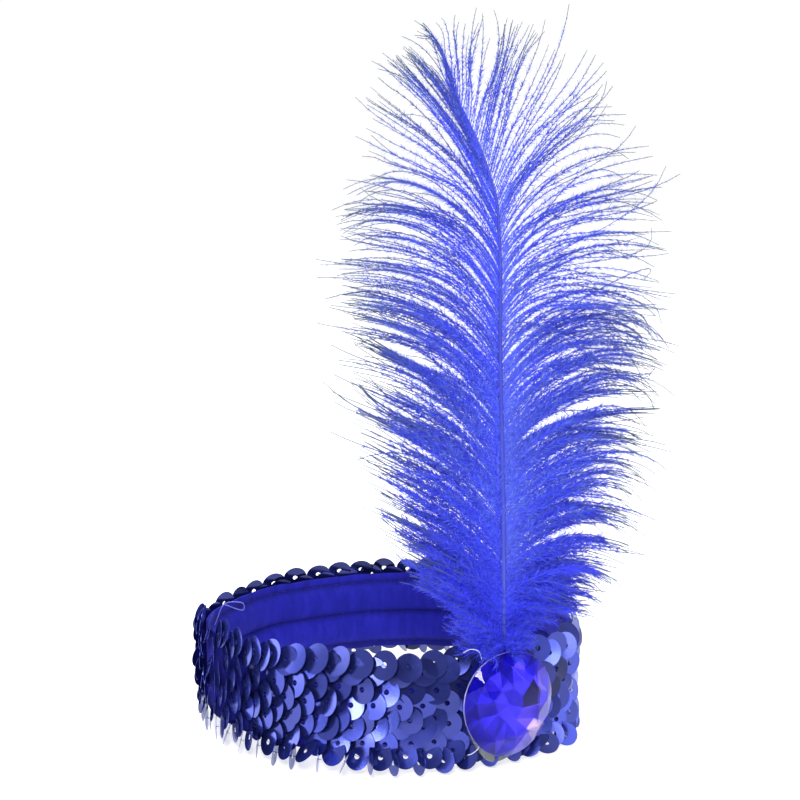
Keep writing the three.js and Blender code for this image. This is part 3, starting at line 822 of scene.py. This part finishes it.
def build_shaft():
    """Quill and shaft: a flattened tube with a groove along its front and back, and a painted highlight line down its
    lower part.
    """
    heights = np.concatenate([np.linspace(15.0, 192.0, 60), np.linspace(194.0, 226.0, 18)])
    side = shaft_side(heights)
    kernel = np.ones(5) / 5.0
    side = np.convolve(np.pad(side, 2, mode="edge"), kernel, "valid")
    radius = np.interp(heights, SHAFT[:, 0], SHAFT[:, 2])
    count = 16
    a = 2.0 * math.pi * np.arange(count) / count
    groove = 1.0 - 0.20 * np.exp(-((np.abs(np.sin(a)) - 1.0) / 0.12) ** 2)
    sx = radius[:, None] * np.cos(a) * groove
    sy = radius[:, None] * np.sin(a) * groove
    points = plume_point(side[:, None] + sx, sy, np.broadcast_to(heights[:, None], sx.shape))
    n, m = sx.shape
    i, j = np.meshgrid(np.arange(n - 1), np.arange(m), indexing="ij")
    b = (j + 1) % m
    quads = np.stack([i * m + j, i * m + b, (i + 1) * m + b, (i + 1) * m + j], -1).reshape(-1, 4)
    caps = np.stack([np.arange(m)[::-1], (n - 1) * m + np.arange(m)])
    # painted highlight: a thin lighter line along the front and back centre, full below 60 mm and gone by 100 mm
    highlight_line = np.exp(-((np.abs(np.sin(a)) - 1.0) / 0.06) ** 2)
    colours = np.empty((n, m, 3))
    colours[:] = (0.040, 0.053, 0.37)
    colours += (highlight_line[None, :] * smooth_step(heights, 100.0, 60.0)[:, None])[..., None] * np.array((0.030, 0.042, 0.10))
    colours *= np.interp(heights, (15.0, 50.0, 150.0, 190.0, 226.0), (0.9, 1.0, 0.9, 1.0, 1.3))[:, None, None]
    return make_piece("shaft", points.reshape(-1, 3), [quads, caps], [QUILL], True, None, colours.reshape(-1, 3))


# Where the barbs end: root height, tip's sideways place, tip's rise above the root
LEFT_TIPS = np.array([
    (41.0, -17.6, 4.5), (42.6, -28.8, 22.0), (52.0, -34.8, 24.3), (55.6, -40.0, 26.2), (68.5, -43.5, 34.3),
    (78.0, -47.0, 34.4), (84.7, -48.6, 38.0), (91.0, -48.0, 40.0), (104.0, -52.0, 33.8), (110.7, -50.0, 36.0),
    (125.0, -52.3, 32.2), (138.0, -55.0, 28.0), (148.0, -56.0, 31.4), (164.0, -55.0, 23.3), (172.0, -48.6, 25.4),
    (177.0, -50.0, 40.0), (183.6, -42.6, 47.0), (190.0, -36.0, 45.5), (197.0, -35.0, 40.5), (204.0, -33.5, 35.0),
    (212.0, -31.5, 29.5), (219.0, -29.0, 25.0), (226.0, -25.5, 21.0)])
RIGHT_TIPS = np.array([
    (41.0, 10.0, 8.0), (43.0, 15.0, 12.0), (46.0, 21.0, 12.0), (50.7, 30.0, 5.0), (55.6, 35.0, 2.5), (60.0, 38.5, 4.0), (63.7, 41.0, 8.0),
    (73.4, 42.6, 10.7), (83.0, 44.0, 11.3), (89.6, 48.6, 13.4), (97.7, 49.0, 15.6), (109.0, 51.0, 17.0),
    (117.0, 51.7, 18.0), (123.6, 51.0, 16.5), (131.7, 51.4, 14.6), (141.0, 46.4, 10.7), (152.8, 55.0, 9.7),
    (156.0, 53.4, 17.0), (164.0, 51.5, 21.0), (170.0, 50.5, 24.0), (174.0, 48.5, 28.0), (178.0, 44.5, 32.0), (182.0, 39.5, 35.0),
    (186.0, 35.0, 37.5), (190.0, 31.0, 43.0), (192.5, 24.0, 42.0), (196.0, 16.0, 44.7), (201.0, 10.0, 44.0),
    (207.0, 1.0, 39.5), (213.0, -6.5, 34.0), (219.0, -13.0, 29.5), (226.0, -21.5, 23.5)])
# Directions by root height: start from the shaft's line, end from the level line (degrees)
LEFT_START = ((41, 58), (55, 44), (75, 37), (100, 30), (140, 25), (180, 21), (192, 28), (204, 36), (226, 38))
LEFT_END = ((41, 22), (60, 30), (90, 32), (112, 16), (135, 4), (160, -8), (171, 2), (177, 18), (184, 27), (190, 27), (197, 26), (210, 30), (226, 50))
RIGHT_START = ((41, 48), (55, 46), (75, 44), (100, 36), (140, 30), (178, 24), (195, 14), (226, 8))
RIGHT_END = ((41, 30), (48, 6), (60, -28), (75, -30), (95, -24), (120, -18), (150, -18), (160, -15), (170, -4), (176, 16), (182, 34), (190, 52), (197, 66), (207, 80), (226, 92))


def barb_lines(root, tip_side, tip_rise, start, end, sign, k):
    """Bezier lines in the plume's plane: (m, k) sideways and height."""
    u = np.linspace(0.0, 1.0, k)
    x0, y0 = shaft_side(root), root
    x3, y3 = tip_side, root + tip_rise
    chord = np.hypot(x3 - x0, y3 - y0)
    start, end = np.radians(start), np.radians(end)
    x1, y1 = x0 + sign * np.sin(start) * chord * 0.42, y0 + np.cos(start) * chord * 0.42
    x2, y2 = x3 - sign * np.cos(end) * chord * 0.36, y3 - np.sin(end) * chord * 0.36
    b = np.stack([(1 - u) ** 3, 3 * u * (1 - u) ** 2, 3 * u ** 2 * (1 - u), u ** 3])
    side = x0[:, None] * b[0] + x1[:, None] * b[1] + x2[:, None] * b[2] + x3[:, None] * b[3]
    high = y0[:, None] * b[0] + y1[:, None] * b[1] + y2[:, None] * b[2] + y3[:, None] * b[3]
    return side, high


ROOT_STEP = {-1.0: ((38.5, 70, 110, 150, 190, 204, 226), (0.36, 0.43, 0.45, 0.53, 0.60, 0.80, 1.15)),
             1.0: ((38.5, 70, 110, 150, 185, 204, 226), (0.36, 0.43, 0.45, 0.56, 0.74, 0.90, 1.15))}
LONERS = {-1.0: ((42, 150, 226), (0.12, 0.20, 0.30)), 1.0: ((42, 150, 175, 226), (0.14, 0.22, 0.45, 0.50))}


def barb_set(sign, rng, k):
    """One side's barbs, gathered into locks: sideways, depth, height (m, k) and root heights."""
    tips = LEFT_TIPS if sign < 0 else RIGHT_TIPS
    starts = LEFT_START if sign < 0 else RIGHT_START
    ends = LEFT_END if sign < 0 else RIGHT_END
    # roots: closest together at the downy foot
    root, h = [], 39.5
    while h < 225.5:
        root.append(h)
        h += np.interp(h, *ROOT_STEP[sign]) * rng.uniform(0.6, 1.4)
    root = np.array(root)
    m = len(root)
    lock = np.zeros(m, int)
    i = number = 0
    while i < m:
        size = int(rng.choice([1, 2, 3, 5, 8, 11, 14, 18], p=[0.12, 0.12, 0.12, 0.14, 0.17, 0.15, 0.11, 0.07]))
        lock[i:i + size] = number
        i += size
        number += 1
    middle = np.array([root[lock == q].mean() for q in range(number)])
    u = np.linspace(0.0, 1.0, k)

    def lines(at, d_side, d_rise, d_start, d_end):
        return barb_lines(at, np.interp(at, tips[:, 0], tips[:, 1]) * (1.0 + d_side),
                          np.interp(at, tips[:, 0], tips[:, 2]) + d_rise,
                          np.interp(at, *np.array(starts).T) + d_start,
                          np.interp(at, *np.array(ends).T) + d_end, sign, k)

    lock_reach = rng.normal(-0.02, 0.05, number)
    if sign > 0:
        lock_reach += np.interp(middle, (128, 150, 184, 200), (0.0, -0.14, -0.18, -0.04))
    lock_rise = rng.normal(0.0, 3.4, number)
    lock_start = rng.normal(0.0, 3.0, number)
    lock_end = rng.normal(0.0, 13.0, number)
    if sign > 0:
        lock_rise *= np.interp(middle, (90, 125, 185, 200), (1.0, 1.6, 1.6, 1.0))
        lock_end *= np.interp(middle, (90, 125, 185, 200), (1.0, 1.5, 1.5, 1.0))
    lock_depth = rng.normal(0.0, 3.4, number)
    lock_close = rng.uniform(0.60, 0.97, number)
    lock_splay = rng.uniform(0.10, 0.70, number)
    # the lower locks end in points
    low = np.interp(middle, (50, 62, 112, 135), (0.0, 1.0, 1.0, 0.0))
    lock_close = lock_close + (0.96 - lock_close) * 0.75 * low
    lock_splay = lock_splay * (1.0 - 0.65 * low)
    ls, lh = lines(middle, lock_reach, lock_rise, lock_start, lock_end)
    own_reach = rng.normal(-0.04, 0.06, m) - 0.30 * (rng.random(m) < 0.22) * rng.random(m)
    # some lower barbs reach out past the rest
    far = np.random.default_rng(77 + int(sign))
    own_reach += (far.random(m) < np.interp(root, (48, 60, 125, 150), (0.0, 0.16, 0.16, 0.0))) * far.uniform(0.08, 0.24, m)
    own_rise = rng.normal(0.0, 2.4, m)
    # a few stray barbs cross the others
    stray = rng.random(m) < np.interp(root, (60, 120, 140, 185, 200), (0.10, 0.10, 0.24, 0.24, 0.14) if sign > 0 else (0.10, 0.10, 0.13, 0.13, 0.10))
    wild = np.interp(root, (110, 140, 185, 200), (1.0, 1.6, 1.6, 1.0)) if sign > 0 else np.ones(m)
    own_rise += np.where(stray, rng.normal(0.0, 6.5, m) * wild, 0.0)
    own_end = rng.normal(0.0, 8.0, m) + np.where(stray, rng.normal(0.0, 24.0, m) * wild, 0.0)
    side, high = lines(root, own_reach, own_rise, lock_start[lock] + rng.normal(0, 1.8, m), lock_end[lock] + own_end)
    begin = np.interp(root, (60, 150, 190), (0.36, 0.31, 0.26))[:, None]
    gather = lock_close[lock][:, None] * smooth_step(u[None, :], begin, begin + 0.36)
    gather = gather * (1.0 - lock_splay[lock][:, None] * smooth_step(u, 0.80, 1.0))
    loner = stray | (rng.random(m) < np.interp(root, *LONERS[sign]))
    gather = np.where(loner[:, None], 0.1 * gather, gather)
    # a barb whose own end is far from its lock's keeps to itself
    apart = np.hypot(side[:, -1] - ls[lock][:, -1], high[:, -1] - lh[lock][:, -1])
    gather = gather * np.exp(-(apart / 11.0) ** 2)[:, None]
    side = side + (ls[lock] - side) * gather
    high = high + (lh[lock] - high) * gather
    # the foot's down: short loose barbs that lie over one another, some across the shaft
    extra, across = 96, 16
    down_root = np.concatenate([np.sort(rng.uniform(39.5, 62.0, extra)), rng.uniform(38.5, 43.5, across)])
    reach = np.concatenate([rng.uniform(0.40, 1.0, extra), rng.uniform(0.25, 0.6, across)])
    ds, dh = barb_lines(down_root, np.interp(down_root, tips[:, 0], tips[:, 1]) * reach,
                        np.interp(down_root, tips[:, 0], tips[:, 2]) * reach + rng.uniform(-2.0, 5.0, extra + across),
                        np.concatenate([np.interp(down_root[:extra], *np.array(starts).T) + rng.normal(0.0, 7.0, extra),
                                        rng.uniform(10.0, 75.0, across)]),
                        np.interp(down_root, *np.array(ends).T) + rng.normal(0.0, 12.0, extra + across), sign, k)
    ds[extra:] += rng.uniform(-0.9, 0.9, (across, 1))
    side, high = np.concatenate([side, ds]), np.concatenate([high, dh])
    root = np.concatenate([root, down_root])
    lock_of_depth = np.concatenate([lock_depth[lock], rng.normal(0.0, 4.5, extra), rng.normal(-4.0, 2.0, across)])
    root_depth = np.concatenate([np.zeros(m), rng.normal(0.0, 0.5, extra), rng.uniform(-2.0, -1.0, across)])
    alone = np.concatenate([loner, np.zeros(extra + across, bool)])
    m = len(root)
    # ripples, and depth: barbs leave the shaft a little forward and fan out in depth
    phase = rng.uniform(0, 6.3, (m, 1))
    high = high + 0.45 * np.sin(u * rng.uniform(5, 9, (m, 1)) + phase) * u * (1 - 0.4 * u)
    own_depth = rng.normal(0.0, 2.2, m)
    curl = rng.normal(-1.5, 1.8, m)
    depth = root_depth[:, None] + (lock_of_depth + own_depth)[:, None] * u ** 1.3 + (curl[:, None]) * u ** 3
    depth = depth + 0.35 * np.sin(u * 7.0 + phase * 1.7) * u
    return side, depth, high, root, alone


def spikes(base, direction, length, width, rng):
    """Thin closed blades: three corners at the base and a point."""
    m = len(base)
    a = unit(np.cross(direction, DEPTH_AXIS))
    b = np.cross(direction, a)
    turn = rng.normal(0.0, 0.7, m)[:, None]
    a, b = a * np.cos(turn) + b * np.sin(turn), b * np.cos(turn) - a * np.sin(turn)
    corners = [base + width[:, None] * (a * math.cos(q) + b * (0.32 * math.sin(q))) for q in (0.0, 2.0944, 4.1888)]
    verts = np.stack([*corners, base + direction * length[:, None]], 1)
    at = 4 * np.arange(m)[:, None]
    tris = np.concatenate([at + np.array(f) for f in ((0, 1, 3), (1, 2, 3), (2, 0, 3), (2, 1, 0))])
    return verts.reshape(-1, 3), tris


def by_place(f, stops):
    """Colours along a barb: rows of (place, red, green, blue)."""
    stops = np.array(stops)
    return np.stack([np.interp(f, stops[:, 0], stops[:, c]) for c in (1, 2, 3)], -1)


# A barb's own stem goes from blue to slate; its barbules stay blue until near the end
STEM = ((0.0, 0.030, 0.040, 0.60), (0.30, 0.030, 0.043, 0.48), (0.60, 0.034, 0.054, 0.32), (0.85, 0.034, 0.056, 0.15), (1.0, 0.034, 0.056, 0.09))
LONE_STEM = ((0.0, 0.036, 0.050, 0.60), (0.25, 0.033, 0.051, 0.38), (0.5, 0.033, 0.055, 0.20), (1.0, 0.034, 0.056, 0.085))
FUZZ = ((0.0, 0.022, 0.029, 0.82), (0.6, 0.026, 0.036, 0.80), (0.85, 0.040, 0.062, 0.56), (1.0, 0.056, 0.100, 0.26))
PALE = np.array((0.095, 0.130, 0.80))
HAZE = np.array((0.22, 0.39, 0.90))
BARBULES_A_SIDE = 80000


def build_side(sign, seed):
    rng = np.random.default_rng(seed)
    k = 15
    side, depth, high, root, alone = barb_set(sign, rng, k)
    m = len(root)
    u = np.linspace(0.0, 1.0, k)
    paths = plume_point(side, depth, high)
    thick = rng.uniform(0.85, 1.15, (m, 1)) * np.interp(root, (46, 56, 110, 135, 226), (1.0, 1.3, 1.25, 1.0, 0.85))[:, None]
    radii = thick * np.interp(u, (0.0, 0.3, 0.8, 1.0), (0.18, 0.15, 0.135, 0.10))
    # painted light and shade: each barb gets a random brightness, standing in for lit and shaded barbs; the spread is
    # smaller at the downy foot
    light = rng.normal(1.0, 0.13, m).clip(0.65, 1.4)
    light = 1.0 + (light - 1.0) * np.interp(root, (42, 90, 140), (0.5, 0.7, 1.0))
    # the downy foot stays blue to its ends, and the right side is pale beside the shaft
    blue = np.interp(root, (42, 62, 95, 130), (1.0, 0.85, 0.30, 0.0))
    near_pale = 0.70 if sign > 0 else 0.15
    deep = np.interp(root, (42, 70, 120, 226), (1.02, 1.02, 0.99, 0.96))

    def tint(stops, f, who, light, hold=1.0):
        c = by_place(f, stops)
        c = c + (by_place(0.0, stops) - c) * (hold * blue[who])[..., None]
        c = c + (PALE - c) * (near_pale * np.clip(1.0 - f / 0.34, 0.0, 1.0) * np.interp(root[who], (50, 75), (0.0, 1.0)))[..., None]
        return c * (light * deep[who])[..., None]

    each = np.repeat(np.arange(m)[:, None], k, 1)
    along = np.broadcast_to(u, (m, k))
    tone = np.where(alone[:, None, None], tint(LONE_STEM, along, each, light[each], 0.12), tint(STEM, along, each, light[each], 0.12))
    lengths = np.linalg.norm(np.diff(paths, axis=1), axis=-1)
    run = np.concatenate([np.zeros((m, 1)), np.cumsum(lengths, 1)], 1)
    wish = run[:, -1] * np.interp(root, (42, 70, 110, 160, 226), (1.1, 1.1, 1.08, 0.98, 0.86)) * np.where(alone, 0.6, 1.0)
    share = (wish * BARBULES_A_SIDE / wish.sum()).astype(int)
    order = np.argsort(root)
    # the lower barbs end in bare dark tips
    bare = 1.0 - np.interp(root, (46, 56, 108, 130), (0.0, 1.0, 1.0, 0.0)) * np.random.default_rng(seed + 50).uniform(0.08, 0.34, m)
    half = np.searchsorted(np.cumsum(share[order]), BARBULES_A_SIDE / 2)
    pieces = []
    for name, ids in (("lower", order[:half]), ("upper", order[half:])):
        verts, polys = tubes(paths[ids], radii[ids], 3, DEPTH_AXIS)
        parts = [(verts, polys, np.repeat(tone[ids].reshape(-1, 3), 3, 0))]
        bases, ways, long, wide, tints = [], [], [], [], []
        for i in ids:
            total, n = run[i, -1], share[i]
            f = np.sort(0.02 + 0.98 * rng.uniform(0.0, 1.0, n) ** 1.05) * bare[i]
            at = f * total
            p = np.stack([np.interp(at, run[i], paths[i, :, c]) for c in range(3)], -1)
            ahead = np.stack([np.interp(np.minimum(at + 0.6, total), run[i], paths[i, :, c]) for c in range(3)], -1)
            behind = np.stack([np.interp(np.maximum(at - 0.6, 0.0), run[i], paths[i, :, c]) for c in range(3)], -1)
            tangent = unit(ahead - behind)
            sideways = unit(np.cross(tangent, DEPTH_AXIS))
            # about half stand close to the stem, the rest are long thin fuzz between the barbs
            loose = rng.random(n) < 0.55
            spin = rng.normal(0.0, 0.7, n) + math.pi * (rng.random(n) < 0.5)
            lateral = sideways * np.cos(spin)[:, None] + DEPTH_AXIS * np.sin(spin)[:, None]
            lean = np.radians(np.where(loose, rng.normal(42.0, 16.0, n), rng.normal(32.0, 9.0, n)))
            way = unit(tangent * np.cos(lean)[:, None] + lateral * np.sin(lean)[:, None])
            size = np.interp(root[i], (42, 60, 90, 130, 170, 226), (3.4, 3.5, 3.1, 2.5, 2.05, 1.75))
            size = size * np.interp(f, (0.0, 0.12, 0.45, 0.85, 1.0), (0.65, 0.85, 1.0, 0.70, 0.25)) * rng.uniform(0.55, 1.3, n)
            bases.append(p)
            ways.append(way)
            long.append(size * np.where(loose, 1.35, 0.85))
            wide.append(np.interp(f, (0.0, 0.5, 0.8, 1.0), (0.20, 0.19, 0.145, 0.05)) * np.where(loose, 0.66, 1.0) * np.interp(root[i], (60, 90, 115), (1.25, 1.15, 1.0)))
            # painted light and shade: each barbule's brightness also varies at random about its barb's
            hue = tint(FUZZ, f, np.full(n, i), light[i] * rng.normal(1.0, 0.12, n))
            # painted light: thin loose fuzz is painted paler, toward HAZE, for light shining through it
            pale = np.where(loose, rng.uniform(0.0, 0.55, n), 0.0) * np.interp(root[i], (50, 90), (0.15, 1.0))
            tints.append(hue + (HAZE - hue) * pale[:, None])
        v, t = spikes(np.concatenate(bases), np.concatenate(ways), np.concatenate(long), np.concatenate(wide), rng)
        parts.append((v, [t], np.repeat(np.concatenate(tints), 4, 0)))
        verts, polys, tones = joined(parts)
        label = "left" if sign < 0 else "right"
        piece = make_piece(f"barbs_{label}_{name}", verts, polys, [FEATHER], True, None, tones)
        pieces.append(piece)
    return pieces


# ---------------------------------------------------------------- assembly
elastic = build_elastic()
seam_stitches = build_seam_stitches()
rows = [build_sequins(r) for r in range(3)]
sequin_stitches = build_sequin_stitches()
loose_threads = build_loose_threads()
gem = build_gem()
glue = build_glue()
shaft = build_shaft()
barbs = build_side(-1.0, 301) + build_side(1.0, 302)

for piece, name in [(elastic, "elastic"), (seam_stitches, "elastic"), (sequin_stitches, "sequins"), *[(p, "sequins") for p in loose_threads], (gem, "stone"),
                    (glue, "glue"), (shaft, "shaft"), *[(r, "sequins") for r in rows], *[(b, "plume") for b in barbs]]:
    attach(piece, "root")
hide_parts("elastic_band")
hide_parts("sequin_facing")
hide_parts("gem")
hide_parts("glue_pad")
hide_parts("feather_shaft")
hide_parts("plume")
